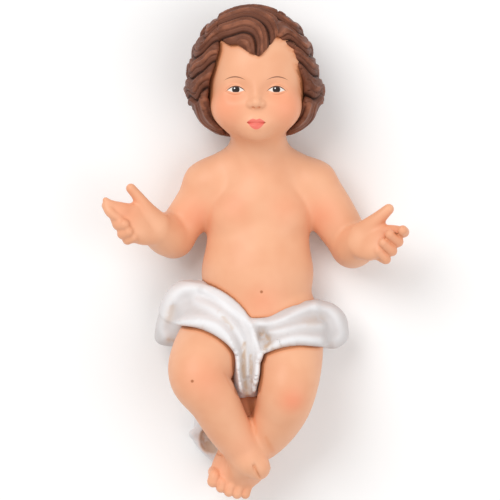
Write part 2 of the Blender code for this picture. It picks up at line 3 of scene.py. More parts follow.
import math

import bmesh
import bpy
import numpy as np
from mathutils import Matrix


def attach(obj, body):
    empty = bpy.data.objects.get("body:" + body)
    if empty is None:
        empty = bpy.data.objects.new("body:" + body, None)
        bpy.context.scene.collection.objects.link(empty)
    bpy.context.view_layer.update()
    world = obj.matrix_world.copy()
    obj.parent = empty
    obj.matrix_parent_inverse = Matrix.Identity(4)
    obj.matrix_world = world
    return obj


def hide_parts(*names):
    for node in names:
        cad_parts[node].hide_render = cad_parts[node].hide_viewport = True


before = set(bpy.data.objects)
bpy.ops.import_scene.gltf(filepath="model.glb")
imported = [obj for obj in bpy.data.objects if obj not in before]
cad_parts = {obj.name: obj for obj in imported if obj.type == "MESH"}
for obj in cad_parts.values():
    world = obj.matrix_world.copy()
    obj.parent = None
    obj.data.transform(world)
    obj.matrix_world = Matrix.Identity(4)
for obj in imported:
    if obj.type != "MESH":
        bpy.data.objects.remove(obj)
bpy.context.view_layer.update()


# The flesh of the casting: trunk, arms, hands, legs and feet. It is poured resin in one piece with
# the head, sprayed peach and blushed by hand, with a brown wash and painted shade in the creases,
# and painted shade under the arms and in the pinholes. Its round forms are joined as distances, in
# hundredths of the figure's length.

FIGURE_LENGTH = 0.160
UNIT = FIGURE_LENGTH / 100
FAR_AWAY = 1e3
SKIN_GRAIN = 0.00068
FLOOR_ROUNDING = 0.3
PEACH = (0.84, 0.440, 0.263, 1)
PEACH_SHADE = (0.80, 0.387, 0.222, 1)
BLUSH_ORANGE_AND_SHADE = (0.88, 0.25, 0.13, 1)
FLUSH_WASH_AND_SHADE = (0.76, 0.27, 0.11, 1)
CREASE_WASH_AND_SHADE = (0.40, 0.135, 0.05, 1)
FLESH_ROUGHNESS = 0.42
FLESH_SPECULAR = 0.3


def smooth_min(a, b, blend):
    """The union of two distances, with a fillet about as wide as blend."""
    share = np.clip(0.5 + 0.5 * (b - a) / blend, 0, 1)
    return b + (a - b) * share - blend * share * (1 - share)


def smooth_max(a, b, blend):
    return -smooth_min(-a, -b, blend)


def unit_vector(v):
    return np.asarray(v, float) / np.linalg.norm(v)


class Ball:
    """An ellipsoid. Its axes follow the rows of turn, or the figure's own."""

    def __init__(self, centre, radii, blend=0, turn=None):
        self.centre = np.array(centre, float)
        self.radii = np.array(radii, float)
        self.blend = blend
        self.turn = np.eye(3) if turn is None else turn

    def distance(self, points):
        offset = (points - self.centre) @ self.turn.T / self.radii
        reach = np.linalg.norm(offset, axis=1)
        slope = np.linalg.norm(offset / self.radii, axis=1)
        return reach * (reach - 1) / np.maximum(slope, 1e-6)

    def add_to_blank(self, blank):
        made = bmesh.ops.create_icosphere(blank, subdivisions=3, radius=1.0)
        for vertex in made["verts"]:
            vertex.co = self.centre + (np.array(vertex.co) * self.radii) @ self.turn


class Limb:
    """A round form of changing thickness along a smooth curve through stations (x, y, z, radius)."""

    def __init__(self, stations, blend=0, steps=10):
        rows = np.array(stations, float)
        self.blend = blend
        ends = np.vstack([2 * rows[0] - rows[1], rows, 2 * rows[-1] - rows[-2]])
        share = (np.arange(steps) / steps)[:, None]
        runs = []
        for before, here, there, after in zip(ends, ends[1:], ends[2:], ends[3:]):
            bend = 2 * before - 5 * here + 4 * there - after
            twist = 3 * here - before - 3 * there + after
            runs.append(here + 0.5 * share * (there - before + share * (bend + share * twist)))
        self.curve = np.vstack(runs + [rows[-1:]])

    def distance(self, points, margin=3.0):
        low = (self.curve[:, :3] - self.curve[:, 3:]).min(0) - margin
        high = (self.curve[:, :3] + self.curve[:, 3:]).max(0) + margin
        near = np.all((points > low) & (points < high), axis=1)
        some = points[near]
        nearest = np.full(len(some), FAR_AWAY)
        for start, end in zip(self.curve[:-1], self.curve[1:]):
            span = end[:3] - start[:3]
            share = np.clip((some - start[:3]) @ span / max(span @ span, 1e-9), 0, 1)
            away = np.linalg.norm(some - start[:3] - share[:, None] * span, axis=1)
            nearest = np.minimum(nearest, away - start[3] - share * (end[3] - start[3]))
        distance = np.full(len(points), FAR_AWAY)
        distance[near] = nearest
        return distance

    def add_to_blank(self, blank):
        for x, y, z, radius in self.curve[::2]:
            made = bmesh.ops.create_icosphere(blank, subdivisions=2, radius=radius)
            bmesh.ops.translate(blank, verts=made["verts"], vec=(x, y, z))


def joined(forms, points):
    distance = forms[0].distance(points)
    for form in forms[1:]:
        distance = smooth_min(distance, form.distance(points), form.blend)
    return distance


def trunk_forms():
    forms = [
        Ball((0, 9.0, 7.4), (11.1, 9.8, 7.7), 4.0),
        Ball((-0.3, -4.2, 8.2), (11.4, 11.8, 9.0), 5.0),
        Ball((-0.2, -14.2, 7.6), (11.2, 8.0, 8.2), 4.0),
        Limb([(0, 12, 8.0, 6.6), (0, 18.5, 9.2, 5.7), (-0.2, 26, 11.4, 5.7)], 3.8),
    ]
    for side in (-1, 1):
        shoulder = [(0, 19.4, 9, 3.8), (side * 6.2, 17.2, 8.6, 3.8), (side * 11.6, 14.4, 8.2, 3.6)]
        forms.append(Limb(shoulder, 2.6))
        forms.append(Ball((side * 5.0, 7.6, 11.0), (4.4, 3.6, 3.4), 2.8))
        forms.append(Ball((side * 5.0, -15.4, 4.6), (5.8, 5.6, 5.2), 2.0))
    return forms


def arm_forms(shoulder, elbow, wrist, thickness):
    shoulder, elbow, wrist = (np.array(v, float) for v in (shoulder, elbow, wrist))
    upper = [(shoulder, 4.8), (0.5 * (shoulder + elbow), thickness), (elbow, 4.1)]
    fore = [(elbow, 4.3), (0.6 * elbow + 0.4 * wrist, 4.4), (wrist, 3.3)]
    return [
        Limb([(*place, radius) for place, radius in upper], 1.8),
        Limb([(*place, radius) for place, radius in fore], 0.9),
    ]


def own_axes(heading, sideways):
    """The axes of a hand or a foot: along it, across it and square to both."""
    along = unit_vector(heading)
    across = unit_vector(np.array(sideways) - along * (along @ np.array(sideways)))
    return np.array([along, across, np.cross(along, across)])


def finger(stations, radius, blend=0.4):
    """A bent finger, from its root to its tip."""
    shares = np.linspace(1.08, 0.88, len(stations))
    curve = [(*place, radius * share) for place, share in zip(stations, shares)]
    return Limb(curve, blend, steps=7)


RIGHT_WRIST = (-20.9, 4.6, 14.0)
LEFT_WRIST = (20.6, 2.2, 13.4)


def right_hand_forms():
    turn = own_axes((-0.76, 0.19, 0.62), (0.03, 0.96, -0.26))
    return [
        Ball((-24.2, 6.0, 17.0), (4.6, 4.2, 2.2), 1.4, turn),
        Ball((-27.8, 7.2, 18.5), (3.1, 2.7, 1.5), 1.2, turn),
        Ball((-23.4, 3.7, 16.9), (3.8, 2.1, 2.0), 1.2, turn),
        Limb([(-21.0, 5.8, 15.0, 2.6), (-22.9, 8.5, 16.8, 1.8), (-24.6, 11.2, 17.8, 1.15),
              (-26.0, 12.9, 18.4, 1.0)], 0.9),
        Ball((-28.6, 8.2, 19.3), (2.3, 1.5, 1.5), 0.7),
        Limb([(-25.4, 8.3, 18.0, 1.35), (-28.2, 8.9, 19.2, 1.25), (-30.2, 9.6, 20.2, 1.0),
              (-31.1, 10.5, 20.6, 0.6)], 0.5, steps=7),
        Limb([(-31.0, 9.4, 20.4, 0.9), (-30.1, 8.0, 20.8, 1.0), (-28.5, 6.8, 20.4, 0.9)], 0.4, steps=7),
        finger([(-26.4, 6.4, 17.8), (-28.5, 5.6, 19.6), (-27.3, 5.6, 20.9)], 1.22, 0.6),
        finger([(-26.0, 4.8, 17.6), (-27.7, 3.7, 19.4), (-26.5, 4.1, 20.5)], 1.14, 0.6),
        finger([(-25.4, 3.2, 17.0), (-26.7, 2.5, 18.7), (-25.5, 3.0, 19.6)], 1.06, 0.6),
    ]


def left_hand_forms():
    turn = own_axes((0.73, 0.03, 0.68), (0.30, 0.93, -0.36))
    return [
        Ball((23.3, 2.4, 16.2), (4.2, 4.1, 2.2), 1.4, turn),
        Ball((22.2, 0.3, 16.0), (3.4, 1.9, 1.9), 1.2, turn),
        Limb([(21.2, 3.7, 14.2, 2.5), (23.1, 5.6, 16.2, 1.85), (24.8, 7.3, 17.4, 1.35),
              (26.3, 8.7, 18.0, 1.08)], 1.0),
        finger([(25.0, 4.3, 17.0), (27.4, 4.3, 18.2), (29.3, 4.0, 19.4), (29.1, 4.4, 21.2)], 1.15),
        finger([(25.6, 2.4, 17.2), (28.2, 2.1, 18.9), (26.5, 3.6, 20.7)], 1.14),
        finger([(24.9, 0.9, 17.0), (27.0, 0.2, 18.6), (25.2, 1.9, 20.2)], 1.08),
        finger([(24.0, -0.5, 16.4), (25.8, -1.5, 17.7), (24.2, 0.3, 19.0)], 1.0),
    ]


RIGHT_LEG = (
    (-6.6, -13.6, 8.4, 6.8),
    (-10.5, -20.4, 15.2, 7.1),
    (-12.2, -25.2, 19.6, 6.0),
    (-9.2, -30.2, 19.2, 5.1),
    (-6.4, -35.4, 17.2, 4.5),
    (-1.9, -42.0, 14.6, 3.5),
)
LEFT_LEG = (
    (6.0, -14.0, 8.2, 6.6),
    (6.3, -20.6, 14.4, 6.7),
    (5.8, -27.4, 18.8, 6.0),
    (4.2, -32.8, 16.2, 5.3),
    (0.5, -37.9, 12.0, 4.5),
    (-4.6, -41.2, 8.8, 3.5),
)
CROTCH = (
    (-2.4, -20.0, 11.6, 4.6),
    (-2.5, -25.0, 12.0, 4.2),
    (-2.2, -31.0, 11.8, 2.6),
    (-2.6, -36.0, 10.4, 2.4),
)


def foot_forms(ankle, heading, to_big_toe, side):
    """A bare foot. Its own axes run to the toes, to the big toe's side and out of the instep."""
    turn = own_axes(heading, to_big_toe)
    turn[2] *= -side

    def place(a, c, u):
        return np.array(ankle) + np.array([a, c, u]) @ turn

    instep = [(0.2, 0, -0.4, 3.3), (3.4, 0.3, -1.2, 2.9), (5.8, 0.4, -2.2, 2.2)]
    forms = [
        Limb([(*place(a, c, u), radius) for a, c, u, radius in instep], 1.6),
        Ball(place(-1.2, 0, -2.5), (2.7, 2.5, 2.7), 1.4, turn),
        Ball(place(3.2, 1.5, -1.9), (3.6, 3.0, 2.2), 1.6, turn),
        Ball(place(4.8, 0.6, -2.6), (2.9, 3.8, 1.6), 1.2, turn),
    ]
    for toe in range(5):
        radius = 1.2 if toe == 0 else 1.0
        sideways = 4.1 - 1.76 * toe
        reach = 8.3 - 0.25 * (toe - 2.6) ** 2
        stations = [(reach - 2.6, 0.95, -2.3), (reach - 1.2, 1.0, -1.2), (reach, 1.0, -1.9)]
        curve = [(*place(a, sideways * c, u), radius) for a, c, u in stations]
        forms.append(Limb(curve, 0.3, steps=5))
    return forms


TRUNK = trunk_forms()
LEGS = [Limb(CROTCH, 1.5), Limb(LEFT_LEG, 1.6), Limb(RIGHT_LEG, 1.2)]
LIMBS = [
    *arm_forms((-10.0, 13.8, 8.0), (-17.5, 3.1, 7.0), RIGHT_WRIST, 4.3),
    *arm_forms((11.1, 13.9, 8.0), (19.1, 1.1, 7.0), LEFT_WRIST, 4.8),
    *right_hand_forms(),
    *left_hand_forms(),
    LEGS[0],
    LEGS[1],
    *foot_forms(LEFT_LEG[-1][:3], (-0.04, -0.84, 0.54), (-0.95, 0.35, 0.2), 1),
    LEGS[2],
    *foot_forms((-3.1, -41.3, 14.2), (0.13, -0.35, -0.92), (-0.85, -0.5, 0.0), -1),
    Ball((-0.2, -43.8, 15.4), (2.5, 2.6, 2.8), 0.8),
]
NAVEL = Ball((0.5, -8.1, 17.9), (0.9, 0.7, 1.0), 0.7)
PINHOLES = [(0.5, -8.1, 17.0), (-13.5, -26.1, 25.3)]
HEEL_CREASE = Limb([(-1.0, -43.4, 18.6, 0.3), (-0.5, -44.8, 18.2, 0.4), (0.1, -46.0, 17.0, 0.3)], 0.4)

# The head, as shares of its height from its middle: the brows are half way up, and the eyes, nose
# and mouth lie about a quarter, a half and three quarters of the way from there to the chin.
HEAD_CENTRE = np.array([-0.6, 36.0, 13.8])
HEAD_HEIGHT = 27.4
CHIN = -HEAD_HEIGHT / 2
EYE_LINE = CHIN * 0.24
NOSE_LINE = CHIN * 0.50
MOUTH_LINE = CHIN * 0.72
EYE_ACROSS = HEAD_HEIGHT * 0.15
EYEBALL_RADII = (2.3, 1.9, 2.2)
EYEBALL_DEPTH = 8.45


def at_head(x, y, z):
    return HEAD_CENTRE + (x, y, z)


def head_forms():
    forms = [
        Ball(at_head(0, 1.2, -0.8), (11.3, 11.8, 12.3), 2.0),
        Ball(at_head(0, -5.4, 3.2), (9.0, 8.2, 8.2), 3.0),
        Ball(at_head(0, CHIN + 2.4, 8.0), (2.8, 2.2, 2.4), 2.2),
        Limb([(*at_head(0, EYE_LINE + 0.4, 10.3), 0.85), (*at_head(0, -4.8, 11.3), 0.85),
              (*at_head(0, NOSE_LINE + 1.1, 12.0), 1.02)], 1.5),
        Ball(at_head(0, MOUTH_LINE, 8.4), (3.4, 2.4, 2.8), 1.8),
    ]
    for side in (-1, 1):
        forms.append(Ball(at_head(side * 4.7, -6.8, 6.9), (4.1, 3.8, 4.0), 2.4))
        forms.append(Ball(at_head(side * 1.05, NOSE_LINE + 0.8, 11.3), (0.8, 0.7, 0.9), 0.6))
    return forms


HEAD = head_forms()


def on_eyeball(side, across, up, lift):
    x_radius, y_radius, z_radius = EYEBALL_RADII
    depth = z_radius * math.sqrt(max(0.05, 1 - (across / x_radius) ** 2 - (up / y_radius) ** 2))
    return at_head(side * (EYE_ACROSS + across), EYE_LINE + up, EYEBALL_DEPTH + depth + lift)


def lid(side, height, corner, radius):
    places = [(-1.75, corner), (-1.0, 0.72 * height), (0, height), (1.0, 0.72 * height), (1.85, corner)]
    return Limb([(*on_eyeball(side, a, u, 0.02), radius) for a, u in places], 0.25, steps=6)


EYES = []
for side in (-1, 1):
    hollow = Ball(at_head(side * EYE_ACROSS, EYE_LINE, 13.1), (3.0, 2.0, 2.8), 1.6)
    eyeball = Ball(at_head(side * EYE_ACROSS, EYE_LINE, EYEBALL_DEPTH), EYEBALL_RADII, 0.4)
    EYES.append((hollow, eyeball, lid(side, 0.95, 0.0, 0.26), lid(side, -0.62, -0.1, 0.2)))

LIPS = [
    Limb([(*at_head(-2.1, MOUTH_LINE, 10.0), 0.35),
          (*at_head(-0.85, MOUTH_LINE + 0.62, 10.75), 0.55),
          (*at_head(0, MOUTH_LINE + 0.45, 10.85), 0.52),
          (*at_head(0.85, MOUTH_LINE + 0.62, 10.75), 0.55),
          (*at_head(2.1, MOUTH_LINE, 10.0), 0.35)], 0.4),
    Limb([(*at_head(-1.6, MOUTH_LINE - 0.5, 10.1), 0.4), (*at_head(0, MOUTH_LINE - 0.95, 10.65), 0.7),
          (*at_head(1.6, MOUTH_LINE - 0.5, 10.1), 0.4)], 0.4),
]
MOUTH_GROOVE = Limb([(*at_head(-2.2, MOUTH_LINE + 0.08, 10.55), 0.12),
                     (*at_head(0, MOUTH_LINE - 0.16, 11.5), 0.17),
                     (*at_head(2.2, MOUTH_LINE + 0.08, 10.55), 0.12)], 0.3)
NOSTRILS = [
    Ball(at_head(side * 0.55, NOSE_LINE + 0.02, 11.9), (0.28, 0.3, 0.4), 0.25) for side in (-1, 1)
]


def face_carved(distance, points):
    for hollow, eyeball, upper_lid, lower_lid in EYES:
        distance = smooth_max(distance, -hollow.distance(points), hollow.blend)
        for form in (eyeball, upper_lid, lower_lid):
            distance = smooth_min(distance, form.distance(points), form.blend)
    for lip in LIPS:
        distance = smooth_min(distance, lip.distance(points), lip.blend)
    for cut in (MOUTH_GROOVE, *NOSTRILS):
        distance = smooth_max(distance, -cut.distance(points), cut.blend)
    return distance


# Above the collar only the head and the forms near it count, which saves time.
COLLAR = 17.0
NEAR_COLLAR = TRUNK[:1] + TRUNK[3:] + LIMBS[:4]


def skin_distance(points):
    upper = points[:, 1] > COLLAR
    above = points[upper]
    below = points[~upper]
    body = joined(TRUNK + LIMBS + HEAD[:1], below)
    for crease in (NAVEL, HEEL_CREASE):
        body = smooth_max(body, -crease.distance(below), crease.blend)
    distance = np.empty(len(points))
    distance[upper] = face_carved(joined(NEAR_COLLAR + HEAD, above), above)
    distance[~upper] = body
    return smooth_max(distance, -points[:, 2], FLOOR_ROUNDING)


def remeshed(mesh, grain):
    """The same solid on an even grid, without the hollows that it shuts in."""
    holder = bpy.data.objects.new("blank", mesh)
    bpy.context.scene.collection.objects.link(holder)
    remesh = holder.modifiers.new("grid", "REMESH")
    remesh.mode = "VOXEL"
    remesh.voxel_size = grain
    depsgraph = bpy.context.evaluated_depsgraph_get()
    even = bpy.data.meshes.new_from_object(holder.evaluated_get(depsgraph))
    bpy.data.objects.remove(holder)
    return even


def rough_cast(forms, grain):
    blank = bmesh.new()
    for form in forms:
        form.add_to_blank(blank)
    bmesh.ops.scale(blank, vec=(UNIT, UNIT, UNIT), verts=blank.verts)
    mesh = bpy.data.meshes.new("blank")
    blank.to_mesh(mesh)
    blank.free()
    return remeshed(mesh, grain)


def places_of(mesh):
    places = np.empty(3 * len(mesh.vertices))
    mesh.vertices.foreach_get("co", places)
    return places.reshape(-1, 3) / UNIT


def normals_of(mesh):
    normals = np.empty(3 * len(mesh.vertices))
    mesh.vertex_normals.foreach_get("vector", normals)
    return normals.reshape(-1, 3)


def settle(mesh, distance, rounds, share=1.0):
    """Moves the vertices of a mesh along their normals onto the surface of a form."""
    places = places_of(mesh)
    for _ in range(rounds):
        places -= share * np.clip(distance(places), -1.0, 1.0)[:, None] * normals_of(mesh)
        places[:, 2] = np.maximum(places[:, 2], 0)
        mesh.vertices.foreach_set("co", (places * UNIT).ravel())
        mesh.update()


def averaged(mesh, values, rounds):
    """Gives each vertex the mean of its neighbours' values."""
    ends = np.empty(2 * len(mesh.edges), int)
    mesh.edges.foreach_get("vertices", ends)
    number = len(mesh.vertices)
    neighbours = np.bincount(ends, minlength=number)
    here, there = np.concatenate([ends.reshape(-1, 2), ends.reshape(-1, 2)[:, ::-1]]).T
    for _ in range(rounds):
        sums = [np.bincount(here, column[there], number) for column in values.T]
        values = np.transpose(sums) / neighbours[:, None]
    return values


def relax(mesh, rounds):
    """Evens out the grid: each vertex goes to the middle of its neighbours."""
    mesh.vertices.foreach_set("co", (averaged(mesh, places_of(mesh), rounds) * UNIT).ravel())
    mesh.update()


def refine(mesh, inside):
    """Halves the grid where the carving is fine."""
    kept = inside(places_of(mesh))
    finer = bmesh.new()
    finer.from_mesh(mesh)
    edges = [edge for edge in finer.edges if all(kept[v.index] for v in edge.verts)]
    bmesh.ops.subdivide_edges(finer, edges=edges, cuts=1, use_grid_fill=True)
    finer.to_mesh(mesh)
    finer.free()


def on_face(places):
    p = places - HEAD_CENTRE
    return (np.abs(p[:, 0]) < 8.4) & (p[:, 1] > CHIN - 0.6) & (p[:, 1] < 1.5) & (p[:, 2] > 2)


def on_features(places):
    p = places - HEAD_CENTRE
    return (np.abs(p[:, 0]) < 7.0) & (p[:, 1] > MOUTH_LINE - 2.4) & (p[:, 1] < 0) & (p[:, 2] > 5)


def on_hands_and_toes(places):
    return (np.abs(places[:, 0]) > 21.5) | (places[:, 1] < -43.0)


skin = rough_cast(TRUNK + LIMBS + HEAD, 1.6 * SKIN_GRAIN)
settle(skin, skin_distance, 3)
skin = remeshed(skin, SKIN_GRAIN)
relax(skin, 2)
settle(skin, skin_distance, 1)
refine(skin, on_hands_and_toes)
refine(skin, on_face)
refine(skin, on_features)
settle(skin, skin_distance, 2)
relax(skin, 1)
settle(skin, skin_distance, 2)


class Wire:
    """A socket of a paint's nodes. Sums and products of wires add Math nodes."""

    def __init__(self, paint, socket):
        self.paint = paint
        self.socket = socket

    def math(self, operation, first, second):
        return self.paint.node("ShaderNodeMath", {"operation": operation}, {0: first, 1: second})

    def __add__(self, other):
        return self.math("ADD", self, other)

    def __radd__(self, other):
        return self.math("ADD", other, self)

    def __sub__(self, other):
        return self.math("SUBTRACT", self, other)

    def __rsub__(self, other):
        return self.math("SUBTRACT", other, self)

    def __mul__(self, other):
        return self.math("MULTIPLY", self, other)

    def __rmul__(self, other):
        return self.math("MULTIPLY", other, self)

    def __truediv__(self, other):
        return self.math("DIVIDE", self, other)

    def __pow__(self, other):
        return self.math("POWER", self, other)

    def __abs__(self):
        return self.math("ABSOLUTE", self, 0.0)

    def rising(self, low, high):
        """0 below low, 1 above high, and smooth between them."""
        sockets = {"Value": self, "From Min": low, "From Max": high}
        return self.paint.node("ShaderNodeMapRange", {"interpolation_type": "SMOOTHSTEP"}, sockets)


PINHOLE_RADIUS = 0.32
# A spot counts heights at this share, so that it runs deep.
SPOT_HEIGHT_SHARE = 0.2


class Paint:
    """One paint and its nodes."""

    def __init__(self, name, roughness, specular):
        self.material = bpy.data.materials.new(name)
        self.material.use_nodes = True
        self.nodes = self.material.node_tree.nodes
        self.shader = self.nodes["Principled BSDF"]
        self.shader.inputs["Roughness"].default_value = roughness
        self.shader.inputs["Specular IOR Level"].default_value = specular

    def node(self, kind, settings, sockets, output=0):
        """Adds a node: its settings first, then the values or wires of its sockets."""
        made = self.nodes.new(kind)
        for name, value in settings.items():
            setattr(made, name, value)
        for name, value in sockets.items():
            if isinstance(value, Wire):
                self.material.node_tree.links.new(made.inputs[name], value.socket)
            else:
                made.inputs[name].default_value = value
        return Wire(self, made.outputs[output])

    def mix(self, first, second, share):
        sockets = {0: share, 6: first, 7: second}
        return self.node("ShaderNodeMix", {"data_type": "RGBA"}, sockets, output=2)

    def carved(self, name):
        """A number that is kept with the vertices."""
        return self.node("ShaderNodeAttribute", {"attribute_name": name}, {}, output=2)

    def place(self):
        return self.node("ShaderNodeTexCoord", {}, {}, output=3)

    def mottle(self, size, detail=2.0):
        sockets = {"Vector": self.place(), "Scale": 1 / size, "Detail": detail}
        return self.node("ShaderNodeTexNoise", {}, sockets)

    def spot(self, place, radius):
        """1 in a small spot, round as seen from above."""
        x, y, z = place
        sockets = {0: self.place(), 1: (1, 1, SPOT_HEIGHT_SHARE)}
        flat = self.node("ShaderNodeVectorMath", {"operation": "MULTIPLY"}, sockets)
        sockets = {0: flat, 1: (UNIT * x, UNIT * y, SPOT_HEIGHT_SHARE * UNIT * z)}
        away = self.node("ShaderNodeVectorMath", {"operation": "DISTANCE"}, sockets, output=1) / UNIT
        return 1 - away.rising(0.6 * radius, 1.3 * radius)

    def feed(self, name, wire):
        self.material.node_tree.links.new(self.shader.inputs[name], wire.socket)


def flesh_color(paint):
    """Sprayed peach, clouded a little, with blush, a brown wash and painted shade in the creases."""
    color = paint.mix(PEACH, PEACH_SHADE, paint.mottle(0.012).rising(0.35, 0.75))
    # The blush, and painted shade under the arms in the same orange.
    color = paint.mix(color, BLUSH_ORANGE_AND_SHADE, paint.carved("blush_and_shade"))
    hollow = paint.carved("hollow")
    # The brown wash and painted shade in the creases, darkest at their bottoms.
    color = paint.mix(color, FLUSH_WASH_AND_SHADE, 0.45 * hollow.rising(0.2, 0.8))
    color = paint.mix(color, CREASE_WASH_AND_SHADE, 0.85 * hollow.rising(0.7, 1.0))
    # Painted shade in the pinholes of the casting.
    for place in PINHOLES:
        color = paint.mix(color, CREASE_WASH_AND_SHADE, 0.9 * paint.spot(place, PINHOLE_RADIUS))
    return color


flesh_paint = Paint("peach flesh paint", FLESH_ROUGHNESS, FLESH_SPECULAR)
flesh_paint.feed("Base Color", flesh_color(flesh_paint))


# The hair is carved on the head: it is swept off the brow in waves, with a forelock that curls
# down, and its locks have strands cut in them. It is painted brown, with painted shade dark in the
# furrows and a painted chestnut highlight on the crests.

HAIR_THICKNESS = 0.0024
LOCK_DEPTH = 0.0012
HAIR_GRAIN = 0.00036
HAIR = HAIR_THICKNESS / UNIT
LOCK = LOCK_DEPTH / UNIT
FRINGE = ((-7.4, 7.1), (-5.5, 5.9), (-3.8, 6.0), (-1.3, 4.2), (0.6, 3.5), (2.7, 5.5), (4.2, 7.7),
          (6.1, 6.1), (7.4, 5.0))
TEMPLES = ((-13.0, 5.4), (-8.5, 8.3), (-4.6, 9.7), (-1.0, 9.4), (2.0, 8.3), (5.0, 7.5), (9.0, 7.4))
FORELOCK_CENTRE = (-3.8, 2.4)
NAPE = -13.2
WAVE_LENGTH = 4.2
WHORL_LOCKS = 16
EDGE_ROUNDING = 0.6
# How deep under the skin the hair and the cloth go on, out of sight.
HIDDEN = 1.2
HAIR_EDGE_SLOPE = 0.8
HAIR_CORE = [
    Ball(at_head(-0.7, 1.0, -0.8), (11.5, 11.9, 12.4), 2.0),
    Ball(at_head(0.0, -4.6, -1.4), (11.3, 7.4, 9.8), 3.0),
]


def smooth_step(value, low, high):
    share = np.clip((value - low) / (high - low), 0, 1)
    return share * share * (3 - 2 * share)


def mixed(first, second, share):
    return first + (second - first) * share


def hairline_reach(p):
    """How far a place on the head is inside the hair; negative on the face and the throat."""
    over_fringe = p[:, 1] - np.interp(p[:, 0], *zip(*FRINGE))
    beyond_temples = np.abs(p[:, 0]) - np.interp(p[:, 1], *zip(*TEMPLES))
    behind = 1.2 * (4.0 - p[:, 2] - 1.8 * np.maximum(-8.5 - p[:, 1], 0))
    inside = np.maximum(np.maximum(over_fringe, beyond_temples), behind)
    return np.minimum(inside, p[:, 1] - NAPE)


def ridges(turn):
    """Rounded ridges with sharp furrows between them, one to a turn."""
    return 2 * np.abs(np.cos(math.pi * turn)) - 1


def locks(reach):
    """The relief of locks and of the strands on them, one lock to each wave length of reach."""
    turn = reach / WAVE_LENGTH
    return 0.55 * ridges(turn) + 0.30 * ridges(3 * turn + 0.12) + 0.15 * ridges(7 * turn)


def lock_relief(p):
    """The locks: waves at the sides, curls at the nape, a sweep over the brow, a whorl behind."""
    x, y, z = p.T
    side = np.abs(x)
    round_head = 12.0 * (np.arctan2(side, z + 0.5) - 1.0)
    drift = 0.5 * np.sin(0.55 * x + 0.9 * z) * np.sin(0.5 * y + 0.8)
    fall = 3.4 * smooth_step(round_head, -5.0, 9.0) + 0.9 * np.sin(0.62 * round_head + 0.7)
    waves = locks(y + fall + drift - 0.2 * np.sign(x))
    curls = locks(np.hypot(side - 3.6, y + 3.2) + 0.35 * np.sin(0.8 * y))
    sides = mixed(waves, curls, smooth_step(-y, 5.2, 7.0))
    up = 11.8 * np.arctan2(y, z + 0.8)
    fx = np.maximum(x - FORELOCK_CENTRE[0], 0)
    fy = up - FORELOCK_CENTRE[1]
    bend = smooth_step(np.arctan2(fx, np.maximum(fy, 0.01)), 0.5, 1.5)
    sweep = locks(np.hypot(fx, fy) * (1 + 0.5 * bend) + 0.25 * np.sin(0.9 * x) + 0.6)
    over = smooth_step(x, -8.0, -7.5) * smooth_step(4.7 - x, 0, 0.5) * smooth_step(y, 3.0, 4.2)
    over = over * smooth_step(z, -5, -3)
    whorl = locks(WHORL_LOCKS * WAVE_LENGTH / (2 * math.pi) * np.arctan2(x + 0.05, y - 6.0) + drift)
    return mixed(mixed(sides, sweep, over), whorl, smooth_step(-z, 4.6, 5.8))


def hair_distance(points):
    p = points - HEAD_CENTRE
    fullness = smooth_step(-p[:, 1], -6, 5) * (1 - 0.6 * smooth_step(-p[:, 1], 4, 12))
    height = HAIR * (0.6 + 0.75 * fullness) + LOCK * lock_relief(p)
    edge = hairline_reach(p)
    height *= 0.6 + 0.4 * smooth_step(edge, 0, 1.6)
    skull = joined(HAIR_CORE, points)
    shell = smooth_max(skull - height, -HAIR_EDGE_SLOPE * edge, EDGE_ROUNDING)
    hair = np.where(p[:, 1] > CHIN - 4, np.minimum(shell, skull + HIDDEN), FAR_AWAY)
    return smooth_max(hair, -points[:, 2], FLOOR_ROUNDING)


hair_mesh = rough_cast(HAIR_CORE, 2 * HAIR_GRAIN)
settle(hair_mesh, hair_distance, 5, 0.7)
hair_mesh = remeshed(hair_mesh, HAIR_GRAIN)
relax(hair_mesh, 2)
settle(hair_mesh, hair_distance, 5, 0.6)

HAIR_BROWN = (0.150, 0.052, 0.029, 1)
HAIR_CHESTNUT_HIGHLIGHT = (0.330, 0.120, 0.064, 1)
HAIR_FURROW_SHADE = (0.018, 0.007, 0.005, 1)
hair_paint = Paint("chestnut hair paint", roughness=0.50, specular=0.16)
crest = hair_paint.carved("crest")
# Painted shade darkens the furrows, and a painted chestnut highlight lies in patches on the crests.
color = hair_paint.mix(HAIR_FURROW_SHADE, HAIR_BROWN, crest.rising(0.05, 0.6))
painted_highlight = crest.rising(0.5, 1.0) * hair_paint.mottle(0.005, 4.0).rising(0.36, 0.66)
color = hair_paint.mix(color, HAIR_CHESTNUT_HIGHLIGHT, painted_highlight)
hair_paint.feed("Base Color", color)
hair_paint.feed("Roughness", 0.62 - 0.22 * crest)


def write(mesh, name, values):
    mesh.attributes.new(name, "FLOAT", "POINT").data.foreach_set("value", values)


def keep(piece_mesh, name, paint):
    """Names a piece of the casting and lets it ride where the part is."""
    piece_mesh.name = name
    piece_mesh.materials.clear()
    piece_mesh.materials.append(paint.material)
    piece = bpy.data.objects.new(name, piece_mesh)
    bpy.context.scene.collection.objects.link(piece)
    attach(piece, "root")
    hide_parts("infant_figure")


relief = lock_relief(places_of(hair_mesh) - HEAD_CENTRE)
write(hair_mesh, "crest", np.clip(0.5 + 0.5 * relief, 0, 1))
hair_mesh.shade_smooth()
keep(hair_mesh, "hair", hair_paint)


# The loincloth is wrapped round the hips, with a flared end on each side and a tail between the
# thighs; its end is bunched under the shins. It is carved in the casting and painted white, lighter
# on the raised folds as painted highlight and pearl grey lower down as painted shade, with a beige
# wash and painted shade in the folds and painted shade under the shins.

CLOTH_THICKNESS = 0.0013
FOLD_DEPTH = 0.0012
BAND_STEP = 0.0005
CLOTH_GRAIN = 0.00042
CLOTH = CLOTH_THICKNESS / UNIT
FOLD = FOLD_DEPTH / UNIT
STEP = BAND_STEP / UNIT
CLOTH_CREASE = 1.0


